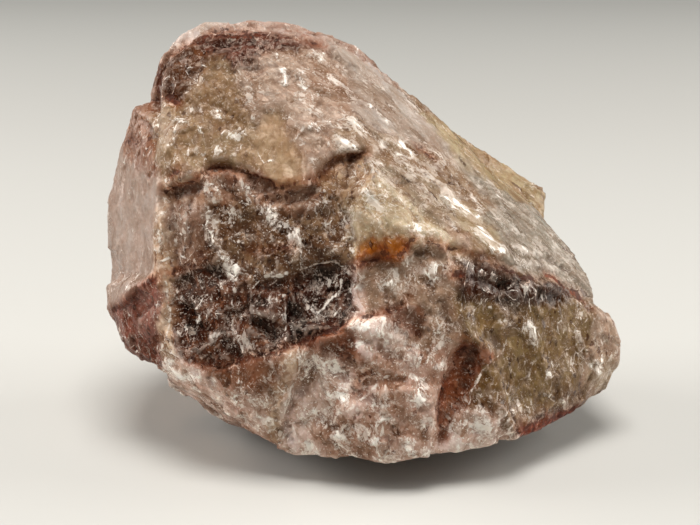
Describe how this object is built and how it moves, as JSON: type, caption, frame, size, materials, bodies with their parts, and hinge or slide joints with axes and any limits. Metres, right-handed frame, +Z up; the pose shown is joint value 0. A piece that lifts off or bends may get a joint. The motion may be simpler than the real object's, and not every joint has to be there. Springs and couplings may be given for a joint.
{
  "type": "hematoid quartz chunk",
  "caption": "Rough broken chunk of hematoid quartz, wedge-shaped with a sloping crest and ledged faces, resting level as a display or collector's mineral.",
  "frame": {"origin": "middle of the stone's footprint box, on the level resting face", "axes": "+X along the stone's length, from the thick crested end to the low rounded end; +Y from the ledged front to the back; +Z up from the resting face"},
  "size_m": [0.1212, 0.0786, 0.0964],
  "materials": {
    "hematoid_quartz": "broken, part glassy and part sugary, translucent at thin edges, stained with iron oxide"
  },
  "bodies": {
    "root": {"quartz_chunk": "hematoid_quartz"}
  },
  "joints": []
}
